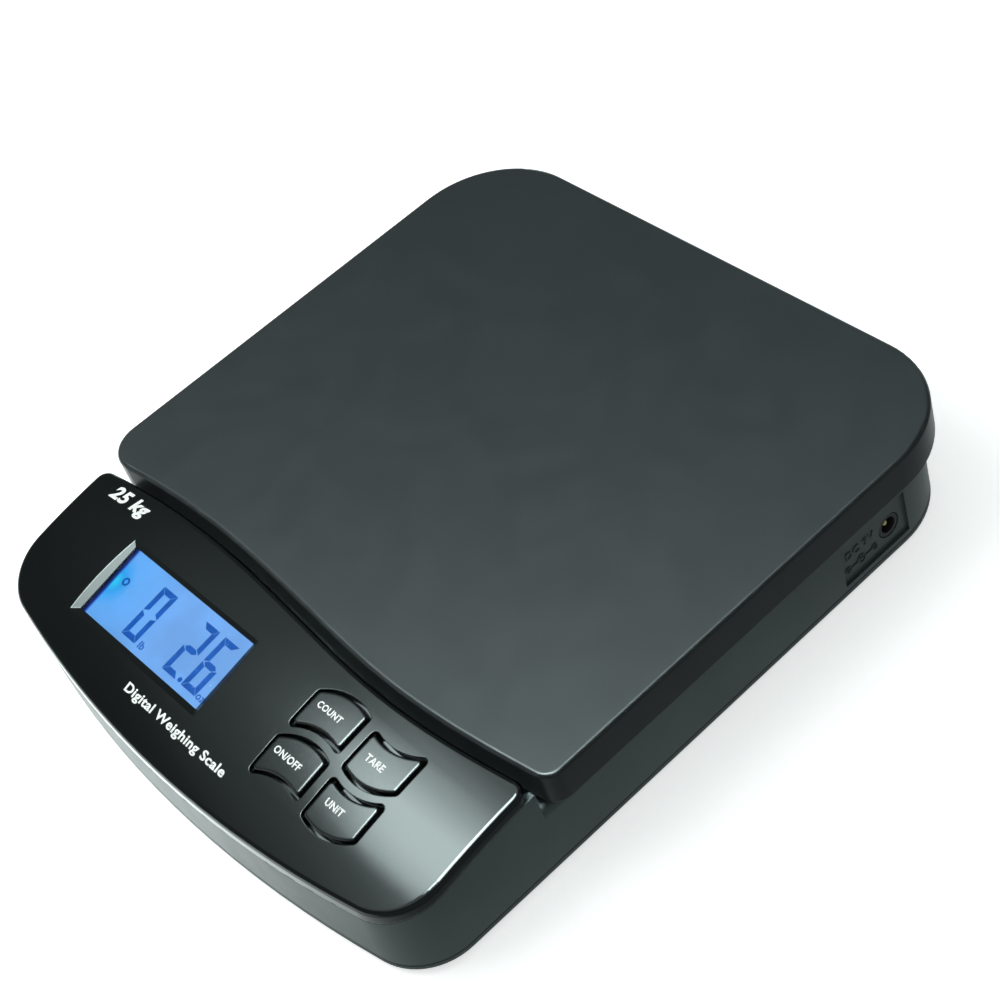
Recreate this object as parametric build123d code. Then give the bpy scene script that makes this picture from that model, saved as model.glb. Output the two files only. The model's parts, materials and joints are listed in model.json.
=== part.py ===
from build123d import *
import os
from math import atan, cos, pi, sin, sqrt

# Platform shipping scale, millimetres. +Z up, +X to the user's right, +Y away from the user.
# Origin: on the table under the middle of the whole scale. The feet stand on Z = 0.
# Everything is drawn about the middle of the base, and MIDDLE moves it there at the end.

# ---- driving dimensions -------------------------------------------------------------------
BASE_W = 208.0            # width of the base across its side walls
BASE_FRONT = -111.5       # furthest forward point of the bowed front
BASE_REAR = 125.3         # rear wall
FRONT_BOW_R = 455.0       # plan radius of the bowed front
FRONT_CORNER_R = 20.0     # plan radius of the base's front corners
REAR_CORNER_R = 30.0
PLATFORM_W = 217.0
PLATFORM_REAR = 128.8
PLATFORM_TOP = 42.3       # overall height
PLATFORM_SKIRT = 12.0     # height of the platform's skirt
PLATFORM_GAP = 3.2        # from the console's rear ridge to the platform's front
PLATFORM_CORNER_R = (12.0, 6.0)   # plan radii of the platform's front left and front right corners
UNDERSIDE = 2.0           # bottom of the shell above the table, the feet stand proud by this
SEAM = 4.4                # parting line between the bottom shell and the cover
SEAM_CHAMFER = 0.35       # on both edges along that line
WALL = 2.2                # moulded wall
WELL_TOP = 26.8           # cover's floor under the platform
WELL_T = 2.5
DECK_T = 2.5              # console deck's plate
DECK_RIM = 4.0            # height of the deck's rim band
DECK_CORNER_R = 4.5       # plan radius of the deck's rear corners
DECK_FALL = 0.221         # mean slope of the deck towards the user
DECK_CROWN = 2.0          # height of the deck's arc over its chord
DECK_CHORD = 62.0         # length of that chord, from the ridge to the front
DECK_Y, DECK_Z = -52.0, 39.7   # where the deck's chord meets the rear ridge
CROWN_W = 1.2             # highest line of the deck in deck coordinates
FIT = 0.25                # gap between neighbouring mouldings

# Rear ridge of the console, an S-curve in plan: the platform's front edge follows it.
RIDGE = ((-112, -55.2), (-91, -52.1), (-50, -49.6), (0, -52.3),
         (43, -55.1), (75, -53.6), (100, -50.4), (112, -48.5))

# Display, in deck coordinates: u to the right, v up the slope, w square to it
LCD_U, LCD_V = -35.5, -27.4
WINDOW = (64.4, 25.4)     # visible window
BEVEL = (69.8, 30.5)      # outer edge of the sloping frame around it
BEVEL_DEPTH = 1.5

# Four keys in two columns. The front and rear edges are arcs: the left column's bulge to the
# rear, the right column's sag to the front, so that the two run on like a wave.
KEY_U = ((27.8, 49.5), (52.8, 74.4))      # left and right side of each column's openings
KEY_ARC = ((41.3, -8.1, -1), (60.5, -12.4, 1))   # middle of the rear row's rear arc, and its bend
KEY_ARC_R = 21.0
KEY_DEPTH, KEY_PITCH = 14.6, 17.2         # front to rear of an opening, and from row to row
KEY_FLANGE = (-3.8, -2.8)                 # lower and upper side of the flange under the deck
KEY_GAP = 1.2             # between a key and its opening
KEY_PROUD = 0.6
KEY_TRAVEL = 0.6
SWITCH_TOP = -5.9         # top of the switch bodies, in deck coordinates
STEM_END = SWITCH_TOP + KEY_TRAVEL + 0.1

BOARD = (-82.0, 84.0, -46.0, -9.0)        # left, right, front, rear
BOARD_TOP, BOARD_T = -9.0, 1.6
CONNECTORS = ((-34, 5.0), (-20, 10.0), (66, 5.0))   # place along the board, width
CONNECTOR_V, CONNECTOR_H = -14.0, 5.0
BOARD_SCREWS = ((-78, -13), (-78, -42), (80, -13), (80, -42), (14, -13), (14, -42))

CELL_Y = 39.0             # the load cell and the weighing frame are centred here
CELL_L, CELL_W = 80.0, 12.7
CELL_Z = 7.4              # underside of the load cell
CELL_BOLTS = (21.0, 33.0) # bolt distances from the middle of the cell
CELL_SAG = 0.8            # travel at full load, down to the overload stop
FRAME_Z, FRAME_T = 29.3, 6.0
PAD_X, PAD_Y = 78.0, 56.0 # half spacings of the four pads under the platform
PAD_R, PAD_H = 7.0, 5.0

BATTERY_BAY = (-92.0, -33.0, -27.0, 8.0)  # opening for the 9 V battery: x from, x to, y from, y to
BATTERY_SIZE = (46.4, 26.5, 17.5)
BATTERY_X, BATTERY_Y, BATTERY_Z = -89.5, -9.3, 4.7   # closed end, middle, underside
STUD_Z = BATTERY_Z + 8.7  # height of the two snap studs
HOOK_X = (-80.0, -53.0)   # left sides of the door's two hooks
HOOK_W = 8.0
JACK_Y, JACK_Z = 90.4, 13.9
RECESS = (69.5, 97.4, 6.4, 23.0)          # panel around the power socket: y from, y to, z from, z to
FEET = ((-78, -90), (78, -90), (-84, 104), (84, 104))
FOOT_R, FOOT_POCKET = 8.0, 1.2
DECK_BOSSES = ((-90, -78), (90, -78), (10, -103))
COVER_BOSSES = ((-92, 76), (92, 76), (-92, -38), (92, -38))
BOSS_R, SCREW_R = 4.0, 1.45


# ---- frames and outlines ------------------------------------------------------------------
TILT = atan(DECK_FALL)
LIFT = DECK_CROWN - CROWN_W
deck_plane = Plane(origin=(0, DECK_Y - LIFT * sin(TILT), DECK_Z + LIFT * cos(TILT)),
                   x_dir=(1, 0, 0), z_dir=(0, -sin(TILT), cos(TILT)))
CROWN_R = ((DECK_CHORD / 2) ** 2 + DECK_CROWN ** 2) / (2 * DECK_CROWN)


def box(x0, x1, y0, y1, z0, z1):
    """Block between two corners."""
    middle = Pos((x0 + x1) / 2, (y0 + y1) / 2, (z0 + z1) / 2)
    return middle * Box(x1 - x0, y1 - y0, z1 - z0)


def rod(x, y, z0, z1, r):
    """Upright cylinder."""
    return Pos(x, y, z0) * Cylinder(r, z1 - z0, align=(Align.CENTER, Align.CENTER, Align.MIN))


def rod_x(x0, x1, y, z, r):
    """Cylinder along X."""
    return Pos(x0, y, z) * Rot(0, 90, 0) * Cylinder(
        r, x1 - x0, align=(Align.CENTER, Align.CENTER, Align.MIN))


def rod_y(x, y0, y1, z, r):
    """Cylinder along Y."""
    return Pos(x, y0, z) * Rot(-90, 0, 0) * Cylinder(
        r, y1 - y0, align=(Align.CENTER, Align.CENTER, Align.MIN))


def on_deck(shape):
    """Moves a shape from deck coordinates (u, v, w) to the scale's frame."""
    return deck_plane.location * shape


def prism(face, z0, z1):
    """Extrudes a plan outline from z0 to z1."""
    return Pos(0, 0, z0) * extrude(face, z1 - z0)


def base_face(inset=0.0):
    """Plan of the base: bowed front, straight sides, round corners."""
    half = BASE_W / 2 - inset
    radius = FRONT_BOW_R - inset
    centre = BASE_FRONT + FRONT_BOW_R
    side = centre - sqrt(radius ** 2 - half ** 2)
    rear = BASE_REAR - inset
    bow = ThreePointArc((-half, side), (0, centre - radius), (half, side))
    rest = Polyline((half, side), (half, rear), (-half, rear), (-half, side))
    face = make_face([bow, rest])
    face = fillet(face.vertices().sort_by(Axis.Y)[-2:], REAR_CORNER_R - inset)
    return fillet(face.vertices().sort_by(Axis.Y)[:2], FRONT_CORNER_R - inset)


def ahead_of_ridge(back=0.0):
    """Plan region in front of the ridge line, moved back by the given amount."""
    points = [(x, y + back) for x, y in RIDGE]
    ridge = Spline(*points)
    left, right = points[0], points[-1]
    rest = Polyline(right, (right[0], -200), (left[0], -200), left)
    return make_face([ridge, rest])


def deck_face(inset=0.0, rear_inset=0.0):
    """Plan of the console deck, with small round rear corners."""
    face = base_face(inset) & ahead_of_ridge(0.8 - rear_inset)
    corners = face.vertices().sort_by(Axis.Y)[-2:]
    return fillet(corners, max(DECK_CORNER_R - inset, 0.6))


def platform_face(inset=0.0):
    """Plan of the platform: its front follows the ridge."""
    half = PLATFORM_W / 2 - inset
    rear = PLATFORM_REAR - inset
    block = Pos(0, (rear - 100) / 2) * Rectangle(2 * half, rear + 100)
    face = block - ahead_of_ridge(PLATFORM_GAP + inset)
    ordered = face.vertices().sort_by(Axis.Y)
    face = fillet(ordered[-2:], REAR_CORNER_R + 3.5 - inset)
    for x, radius in zip((-half, half), PLATFORM_CORNER_R):
        corner = face.vertices().sort_by_distance((x, DECK_Y))[0]
        face = fillet(corner, radius - inset)
    return face


def under(depth):
    """Everything below a surface that lies this deep under the crowned top of the deck."""
    v, w = -DECK_CHORD / 2, DECK_CROWN - CROWN_R
    y = DECK_Y + v * cos(TILT) - w * sin(TILT)
    z = DECK_Z + v * sin(TILT) + w * cos(TILT)
    return Pos(0, y, z) * Rot(0, 90, 0) * Cylinder(CROWN_R - depth, 260)


def tube_path(points, radius):
    """Round wire along a smooth path."""
    path = Spline(*points)
    start = Plane(origin=path @ 0, z_dir=path % 0)
    return sweep(start * Circle(radius), path)


def group(parts):
    """Separate solids kept in one node."""
    return Compound([piece for part in parts for piece in part.solids()])


nodes = {}


# ---- bottom shell -------------------------------------------------------------------------
def bottom_shell():
    """Tray with the feet pockets, screw pillars, load cell seat and battery bay."""
    shell = prism(base_face(), UNDERSIDE, SEAM)
    lowest = shell.faces().sort_by(Axis.Z)[0]
    shell = chamfer(lowest.edges(), 0.7)
    highest = shell.faces().sort_by(Axis.Z)[-1]
    shell = chamfer(highest.edges(), SEAM_CHAMFER)
    lip = prism(base_face(WALL + 0.2) - base_face(WALL + 1.6), SEAM, SEAM + 3.0)
    shell = shell + lip
    x0, x1, y0, y1 = BATTERY_BAY
    wall = 1.5
    bay = box(x0 - wall, x1 + wall, y0 - wall, y1 + wall, SEAM, 17.0)
    shell = shell + bay - box(x0, x1, y0, y1, 0, 30)
    shell = shell - box(x1 - 1, x1 + 2, y0 + 4, y1 - 4, SEAM + 4, 30)
    for x in HOOK_X:
        shell = shell - box(x - 0.5, x + HOOK_W + 0.5, y1 - 0.1, y1 + 1.8, SEAM, SEAM + 2.2)
    seat = box(-47, -10, CELL_Y - 24, CELL_Y + 24, SEAM, CELL_Z - 1.5)
    stop = rod(CELL_BOLTS[1], CELL_Y, SEAM, 5.6, 6.0)
    cradle = box(87, 99, JACK_Y - 4.5, JACK_Y + 4.5, SEAM, 8.5)
    shell = shell + seat + stop + cradle
    for x, y in DECK_BOSSES + COVER_BOSSES:
        shell = shell + rod(x, y, SEAM, 6.6, 5.0)
        shell = shell - rod(x, y, 0, 10, SCREW_R + 0.25) - rod(x, y, 0, 4.6, 3.3)
    for x in CELL_BOLTS:
        shell = shell - rod(-x, CELL_Y, 0, 10, 2.2) - rod(-x, CELL_Y, 0, 4.2, 4.2)
    shell = shell - rod(CELL_BOLTS[1], CELL_Y, 0, 10, 2.05)
    for x, y in FEET:
        shell = shell - rod(x, y, 0, UNDERSIDE + FOOT_POCKET, FOOT_R + 0.1)
    return shell


def rubber_feet():
    feet = []
    for x, y in FEET:
        foot = rod(x, y, 0, UNDERSIDE + FOOT_POCKET, FOOT_R)
        foot = fillet(foot.edges().sort_by(Axis.Z)[0], 0.6)
        feet.append(foot)
    return group(feet)


def pan_head_screw(x, y, z_head, z_tip, radius, head_r, head_h):
    """Screw put in from below, with a cross recess in its head."""
    head = rod(x, y, z_head, z_head + head_h, head_r)
    head = fillet(head.edges().sort_by(Axis.Z)[0], 0.5)
    screw = head + rod(x, y, z_head + head_h, z_tip, radius)
    cross = box(x - 1.6, x + 1.6, y - 0.35, y + 0.35, z_head - 1, z_head + 1.1)
    cross = cross + box(x - 0.35, x + 0.35, y - 1.6, y + 1.6, z_head - 1, z_head + 1.1)
    return screw - cross


def case_screws():
    return group(pan_head_screw(x, y, 2.5, 18.0, SCREW_R, 2.9, 1.9)
                 for x, y in DECK_BOSSES + COVER_BOSSES)


# ---- cover --------------------------------------------------------------------------------
def base_cover():
    """Side walls, and the floor under the platform. The console is open for the deck."""
    outer = prism(base_face(), SEAM, 45)
    lowest = outer.faces().sort_by(Axis.Z)[0]
    outer = chamfer(lowest.edges(), SEAM_CHAMFER)
    block = outer & prism(base_face(), SEAM, WELL_TOP)
    highest = block.faces().sort_by(Axis.Z)[-1]
    block = fillet(highest.edges(), 3.0)
    hollow = prism(base_face(WALL), SEAM, WELL_TOP - WELL_T)
    cover = block - hollow - prism(ahead_of_ridge(-3.4), 0, 60)
    ring = (outer - prism(base_face(WALL), 0, 60)) & prism(ahead_of_ridge(0.8), 0, 60)
    cover = cover + (ring & under(DECK_RIM + FIT))
    cover = cover - box(12, 42, CELL_Y - 9.5, CELL_Y + 9.5, WELL_TOP - 8, WELL_TOP + 1)
    for x, y in COVER_BOSSES:
        cover = cover + rod(x, y, 6.7, WELL_TOP - 1, BOSS_R)
        cover = cover - rod(x, y, 6, 20, SCREW_R + 0.05)
    y0, y1, z0, z1 = RECESS
    side = BASE_W / 2
    cover = cover + box(side - WALL - 2, side - WALL, y0 - 2, y1 + 2, z0 + 1.4, z1)
    cover = cover - box(side - 1.0, side + 1, y0, y1, z0, z1)
    return cover - rod_x(side - 8, side + 2, JACK_Y, JACK_Z, 4.3)


# ---- console deck -------------------------------------------------------------------------
def key_rear(column, row, u):
    """Place of an opening's rear edge at u."""
    middle, v, bend = KEY_ARC[column]
    sagitta = KEY_ARC_R - sqrt(KEY_ARC_R ** 2 - (u - middle) ** 2)
    return v - row * KEY_PITCH + bend * sagitta


def key_face(column, row, inset=0.0):
    """Outline of a key or its opening: straight sides, arched front and rear."""
    left, right = KEY_U[column][0] + inset, KEY_U[column][1] - inset
    stations = (left, (left + right) / 2, right)
    upper = ThreePointArc(*[(u, key_rear(column, row, u) - inset) for u in stations])
    lower = ThreePointArc(*[(u, key_rear(column, row, u) - KEY_DEPTH + inset) for u in stations])
    sides = [Line(lower @ 0, upper @ 0), Line(lower @ 1, upper @ 1)]
    face = make_face([upper, lower] + sides)
    return fillet(face.vertices(), max(1.7 - inset * 0.4, 0.8))


def lcd_block(width, height, w0, w1):
    """Block centred on the display."""
    return box(LCD_U - width / 2, LCD_U + width / 2, LCD_V - height / 2, LCD_V + height / 2, w0, w1)


def console_deck():
    """Crowned top panel with its rim, display opening, key openings and bosses."""
    slab = prism(deck_face(), 5, 60) & under(0)
    top = slab.faces().filter_by(GeomType.CYLINDER).sort_by(SortBy.AREA)[-1]
    slab = fillet(top.edges(), 1.8)
    plate = slab - under(DECK_RIM)
    plate = plate - (prism(deck_face(WALL, WALL), 0, 60) & under(DECK_T))
    rear = deck_face() - deck_face(0, WALL)
    inside = base_face(WALL + 0.3)
    skirt = prism(rear & inside, WELL_TOP + FIT, 45) & under(DECK_T - 0.5)
    deck = plate + skirt
    for x, y in DECK_BOSSES:
        deck = deck + (rod(x, y, 6.7, 60, BOSS_R) & under(DECK_T - 0.5))
        deck = deck - rod(x, y, 0, 20, SCREW_R + 0.05)
    bevel_low = Plane.XY.offset(CROWN_W - BEVEL_DEPTH)
    bevel_high = Plane.XY.offset(CROWN_W + 0.6)
    spread = 1 + 0.6 / BEVEL_DEPTH
    wide = tuple(w + (b - w) * spread for w, b in zip(WINDOW, BEVEL))
    centre = Pos(LCD_U, LCD_V)
    recess = loft([bevel_low * centre * Rectangle(*WINDOW), bevel_high * centre * Rectangle(*wide)])
    deck = deck - on_deck(recess) - on_deck(lcd_block(*WINDOW, -6, 2))
    deck = deck - on_deck(lcd_block(70.5, 32.5, -6, -0.7))
    for column in (0, 1):
        for row in (0, 1):
            deck = deck - on_deck(prism(key_face(column, row), -6, 4))
    for u, v in BOARD_SCREWS:
        boss = on_deck(rod(u, v, BOARD_TOP, 0, 3.0)) & under(DECK_T - 0.5)
        deck = deck + boss - on_deck(rod(u, v, BOARD_TOP - 1, -3.5, 1.15))
    return deck


def key(column, row):
    """Key cap with a retaining flange and a stem down to its switch."""
    low, high = KEY_FLANGE
    cap = on_deck(prism(key_face(column, row, KEY_GAP), low, 4)) & under(-KEY_PROUD)
    face = cap.faces().filter_by(GeomType.CYLINDER).sort_by(SortBy.AREA)[-1]
    cap = fillet(face.edges(), 0.6)
    flange = on_deck(prism(key_face(column, row, -0.8), low, high))
    u, v = key_centre(column, row)
    return cap + flange + on_deck(rod(u, v, STEM_END, low, 2.0))


def key_centre(column, row):
    u = sum(KEY_U[column]) / 2
    return u, key_rear(column, row, u) - KEY_DEPTH / 2


def plunger(column, row):
    """Moving pin of the switch under a key."""
    u, v = key_centre(column, row)
    return on_deck(rod(u, v, STEM_END - 1.5, STEM_END, 1.5))


def tact_switches():
    switches = []
    for column in (0, 1):
        for row in (0, 1):
            u, v = key_centre(column, row)
            body = box(u - 3, u + 3, v - 3, v + 3, BOARD_TOP, SWITCH_TOP)
            switches.append(on_deck(body - rod(u, v, SWITCH_TOP - 2.0, SWITCH_TOP + 1, 1.6)))
    return group(switches)


# ---- display ------------------------------------------------------------------------------
def display_window():
    return on_deck(lcd_block(70.0, 32.0, -1.8, -0.75))


def lcd_glass():
    """Two bonded panes, the lower one a little longer for the contact edge."""
    upper = lcd_block(68.5, 28.5, -2.85, -1.85)
    lower = lcd_block(68.5, 31.0, -3.9, -2.85)
    return on_deck(upper + lower)


def backlight_panel():
    left, right = LCD_U - 31.5, LCD_U + 34.0
    return on_deck(box(left, right, LCD_V - 15, LCD_V + 15, -7.4, -3.95))


def backlight_led():
    left = LCD_U - 34.8
    return on_deck(box(left, left + 3.0, LCD_V - 3, LCD_V + 3, -6.9, -4.4))


def lcd_frame():
    """Holder around the glass and the light guide."""
    frame = lcd_block(73.8, 34.6, -8.95, -2.4)
    frame = frame - lcd_block(70.8, 31.6, -7.6, 0) - lcd_block(60, 22, -10, -5)
    slot = box(LCD_U - 33, LCD_U + 33, LCD_V - 16.2, LCD_V - 15.5, -10, 0)
    return on_deck(frame - slot)


def lcd_pins():
    """Row of contact pins from the glass down to the board."""
    v = LCD_V - 15.55
    pitch = 2.54
    places = [LCD_U + (i - 12) * pitch for i in range(25)]
    return group(on_deck(box(u - 0.22, u + 0.22, v - 0.3, v - 0.02, BOARD_TOP, -2.7)) for u in places)


# ---- main board ---------------------------------------------------------------------------
def main_board():
    left, right, front, rear = BOARD
    board = box(left, right, front, rear, BOARD_TOP - BOARD_T, BOARD_TOP)
    for u, v in BOARD_SCREWS:
        board = board - rod(u, v, -12, -8, 1.4)
    return on_deck(board)


def board_screws():
    screws = []
    for u, v in BOARD_SCREWS:
        low = BOARD_TOP - BOARD_T
        head = rod(u, v, low - 1.5, low, 2.3)
        slot = box(u - 1.4, u + 1.4, v - 0.3, v + 0.3, low - 2, low - 0.8)
        screws.append(on_deck(head - slot + rod(u, v, low, -4.2, 1.1)))
    return group(screws)


def below_board(u0, u1, v0, v1, height):
    """Block hanging from the underside of the board."""
    low = BOARD_TOP - BOARD_T
    return box(u0, u1, v0, v1, low - height, low)


def chip(u, v, width, depth, height, legs):
    """Flat chip with gull-wing legs along its two long sides."""
    body = below_board(u - width / 2, u + width / 2, v - depth / 2, v + depth / 2, height)
    body = chamfer(body.edges().group_by(Axis.Z)[0], 0.25)
    pitch = (width - 1.4) / (legs - 1)
    for i in range(legs):
        x = u - width / 2 + 0.7 + i * pitch
        for side in (-1, 1):
            y = v + side * (depth / 2 + 0.5)
            body = body + below_board(x - 0.2, x + 0.2, min(y, v), max(y, v), 0.4)
    return on_deck(body)


def microcontroller():
    return chip(-40, -28, 14, 14, 1.6, 11)


def converter_chip():
    return chip(-12, -22, 10, 4, 1.5, 8)


def crystal():
    can = below_board(-26, -15, -36, -31.4, 3.4)
    return on_deck(fillet(can.edges().filter_by(Axis.Z), 2.2))


def capacitors():
    low = BOARD_TOP - BOARD_T
    cans = []
    for u, v, r, h in ((34, -20, 3.15, 8.0), (34, -30, 3.15, 8.0), (48, -38, 2.5, 6.5)):
        can = rod(u, v, low - h, low, r)
        cans.append(on_deck(fillet(can.edges().sort_by(Axis.Z)[0], 0.5)))
    return group(cans)


def voltage_regulator():
    tab = below_board(54, 58, -22, -12.5, 2.3)
    return on_deck(tab + below_board(58, 60, -20.5, -14, 0.8))


def resistors():
    """Row of small chip resistors beside the two chips."""
    places = [(-60 + 4 * i, -38) for i in range(4)] + [(-2 + 4 * i, -33) for i in range(4)]
    return group(on_deck(below_board(u - 1, u + 1, v - 0.6, v + 0.6, 0.55)) for u, v in places)


def wire_connectors():
    return group(on_deck(below_board(u - w / 2, u + w / 2, CONNECTOR_V - 2.5, CONNECTOR_V + 2.5,
                                     CONNECTOR_H)) for u, w in CONNECTORS)


def connector_end(u):
    """Point just under a connector, where its wires leave."""
    place = on_deck(Pos(u, CONNECTOR_V, BOARD_TOP - BOARD_T - CONNECTOR_H - 0.9))
    return tuple(place.position)


# ---- load cell and weighing frame ---------------------------------------------------------
def load_cell():
    """Aluminium beam, thinned in the middle by two joined bores."""
    half = CELL_L / 2
    z_mid = CELL_Z + CELL_W / 2
    beam = box(-half, half, CELL_Y - CELL_W / 2, CELL_Y + CELL_W / 2, CELL_Z, CELL_Z + CELL_W)
    beam = chamfer(beam.edges(), 0.4)
    for x in (-8, 8):
        beam = beam - rod_y(x, CELL_Y - 10, CELL_Y + 10, z_mid, 4.9)
    beam = beam - box(-8, 8, CELL_Y - 10, CELL_Y + 10, z_mid - 2, z_mid + 2)
    for x in CELL_BOLTS:
        for side in (-1, 1):
            beam = beam - rod(side * x, CELL_Y, 0, 30, 2.1)
    return beam


def strain_gauges():
    """Sealed gauges over the four thin webs."""
    gauges = []
    for x in (-8, 8):
        for z in (CELL_Z - 0.9, CELL_Z + CELL_W):
            gauges.append(box(x - 5, x + 5, CELL_Y - 4, CELL_Y + 4, z, z + 0.9))
    return group(gauges)


def cell_mount_plate():
    plate = box(-45, -14.5, CELL_Y - 22, CELL_Y + 22, CELL_Z - 1.5, CELL_Z)
    plate = fillet(plate.edges().filter_by(Axis.Z), 3)
    for x in CELL_BOLTS:
        plate = plate - rod(-x, CELL_Y, 0, 10, 2.2)
    return plate


def cell_base_screws():
    return group(pan_head_screw(-x, CELL_Y, 2.3, 16.0, 1.95, 3.7, 1.8) for x in CELL_BOLTS)


def cell_top_spacer():
    block = box(15, 39, CELL_Y - 6.3, CELL_Y + 6.3, CELL_Z + CELL_W, FRAME_Z)
    for x in CELL_BOLTS:
        block = block - rod(x, CELL_Y, 10, 40, 2.2)
    return block


def cell_top_screws():
    """Socket cap screws through the weighing frame into the free end of the cell."""
    screws = []
    for x in CELL_BOLTS:
        screw = rod(x, CELL_Y, 12, FRAME_Z + 2, 1.95) + rod(x, CELL_Y, FRAME_Z + 2, FRAME_Z + 5.6, 3.5)
        socket = extrude(Pos(x, CELL_Y, FRAME_Z + 3.6) * RegularPolygon(1.7, 6), 3)
        screws.append(screw - socket)
    return group(screws)


def overload_stop_screw():
    """Set screw under the free end: the cell lands on it at full load."""
    tip = CELL_Z - CELL_SAG - 0.1
    screw = rod(CELL_BOLTS[1], CELL_Y, 2.4, tip, 2.0)
    socket = extrude(Pos(CELL_BOLTS[1], CELL_Y, 2.0) * RegularPolygon(1.15, 6), 1.8)
    return screw - socket


def weigh_frame():
    """Cross-shaped carrier on the free end of the cell, with a socket at each arm's end."""
    low, high = FRAME_Z, FRAME_Z + FRAME_T
    reach = sqrt(PAD_X ** 2 + PAD_Y ** 2)
    angle = atan(PAD_Y / PAD_X) * 180 / pi
    arm = Pos(0, 0, low) * Box(2 * reach, 13, FRAME_T, align=(Align.CENTER, Align.CENTER, Align.MIN))
    groove = Pos(0, 0, low + 2) * Box(2 * reach - 24, 9, FRAME_T,
                                      align=(Align.CENTER, Align.CENTER, Align.MIN))
    centre = Pos(0, CELL_Y)
    frame = centre * Rot(0, 0, angle) * arm + centre * Rot(0, 0, -angle) * arm
    frame = frame - centre * Rot(0, 0, angle) * groove - centre * Rot(0, 0, -angle) * groove
    for x in (-PAD_X / 2, PAD_X / 2):
        frame = frame + box(x - 1.2, x + 1.2, CELL_Y - PAD_Y / 2, CELL_Y + PAD_Y / 2, low, high)
    frame = frame + box(-22, 44, CELL_Y - 13, CELL_Y + 13, low, high)
    for sx in (-1, 1):
        for sy in (-1, 1):
            x, y = sx * PAD_X, CELL_Y + sy * PAD_Y
            frame = frame + rod(x, y, low, high, PAD_R + 2)
            frame = frame - rod(x, y, high - 1, high + 1, PAD_R + 0.05)
    for x in CELL_BOLTS:
        frame = frame - rod(x, CELL_Y, 20, 40, 2.2) - rod(x, CELL_Y, low + 2, 40, 4.2)
    return frame


def pads():
    ring = [(sx * PAD_X, CELL_Y + sy * PAD_Y) for sx in (-1, 1) for sy in (-1, 1)]
    low = FRAME_Z + FRAME_T - 1
    return group(rod(x, y, low, low + PAD_H, PAD_R) - rod(x, y, low, low + PAD_H, 3.0) for x, y in ring)


def platform_tray():
    """Plate with a skirt, ribs below, and a peg into each pad."""
    low = PLATFORM_TOP - PLATFORM_SKIRT
    plate_low = FRAME_Z + FRAME_T - 1 + PAD_H
    tray = prism(platform_face(), low, PLATFORM_TOP)
    top = tray.faces().sort_by(Axis.Z)[-1]
    tray = fillet(top.edges(), 1.2)
    tray = tray - prism(platform_face(2.4), low - 1, plate_low)
    side = PLATFORM_W / 2 - 1.5
    for x in (-54, -18, 18, 54):
        tray = tray + box(x - 0.8, x + 0.8, -42, PLATFORM_REAR - 2, plate_low - 2, plate_low + 1)
    for y in (-5, CELL_Y, 82):
        tray = tray + box(-side, side, y - 0.8, y + 0.8, plate_low - 2, plate_low + 1)
    for sx in (-1, 1):
        for sy in (-1, 1):
            x, y = sx * PAD_X, CELL_Y + sy * PAD_Y
            tray = tray - rod(x, y, plate_low - 3, plate_low, PAD_R + 1)
            tray = tray + rod(x, y, plate_low - 3, plate_low + 1, 2.5)
    return tray


# ---- power --------------------------------------------------------------------------------
def dc_jack():
    """Socket for a 5.5 mm plug: block inside, round nose through the wall."""
    side = BASE_W / 2
    body = box(86, side - 4.4, JACK_Y - 4.5, JACK_Y + 4.5, JACK_Z - 5.4, JACK_Z + 5.4)
    body = body + rod_x(side - 4.4, side - 1.2, JACK_Y, JACK_Z, 4.0)
    body = body - rod_x(93, side, JACK_Y, JACK_Z, 2.8)
    return body - rod_x(89, 94, JACK_Y, JACK_Z, 1.05)


def dc_jack_pin():
    pin = rod_x(89.5, BASE_W / 2 - 2.2, JACK_Y, JACK_Z, 1.0)
    return fillet(pin.edges().sort_by(Axis.X)[-1], 0.5)


def battery():
    """9 V block battery with a crimped can and rounded long edges."""
    length, width, height = BATTERY_SIZE
    rear, front = BATTERY_Y + width / 2, BATTERY_Y - width / 2
    can = box(BATTERY_X, BATTERY_X + length, front, rear, BATTERY_Z, BATTERY_Z + height)
    return fillet(can.edges().filter_by(Axis.X), 2.0)


def battery_terminals():
    """The two snap studs on the battery's end."""
    x = BATTERY_X + BATTERY_SIZE[0]
    plus = rod_x(x, x + 2.0, BATTERY_Y - 6.4, STUD_Z, 2.8)
    minus = rod_x(x, x + 2.0, BATTERY_Y + 6.4, STUD_Z, 3.4)
    minus = minus - rod_x(x + 0.8, x + 3, BATTERY_Y + 6.4, STUD_Z, 2.8)
    return group([plus, minus])


def battery_snap():
    """Snap-on connector with two cups over the battery's studs."""
    x = BATTERY_X + BATTERY_SIZE[0] + 0.2
    cap = box(x, x + 4.6, BATTERY_Y - 12.5, BATTERY_Y + 12.5, STUD_Z - 6, STUD_Z + 6)
    cap = fillet(cap.edges().filter_by(Axis.X), 3.0)
    for dy in (-6.4, 6.4):
        cap = cap - rod_x(x - 1, x + 2.4, BATTERY_Y + dy, STUD_Z, 3.6)
    return cap


def battery_foam():
    """Strip that keeps the battery from rattling, stuck over it under the cover's floor."""
    low = BATTERY_Z + BATTERY_SIZE[2]
    return box(-84, -50, BATTERY_Y - 9, BATTERY_Y + 9, low, WELL_TOP - WELL_T)


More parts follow.
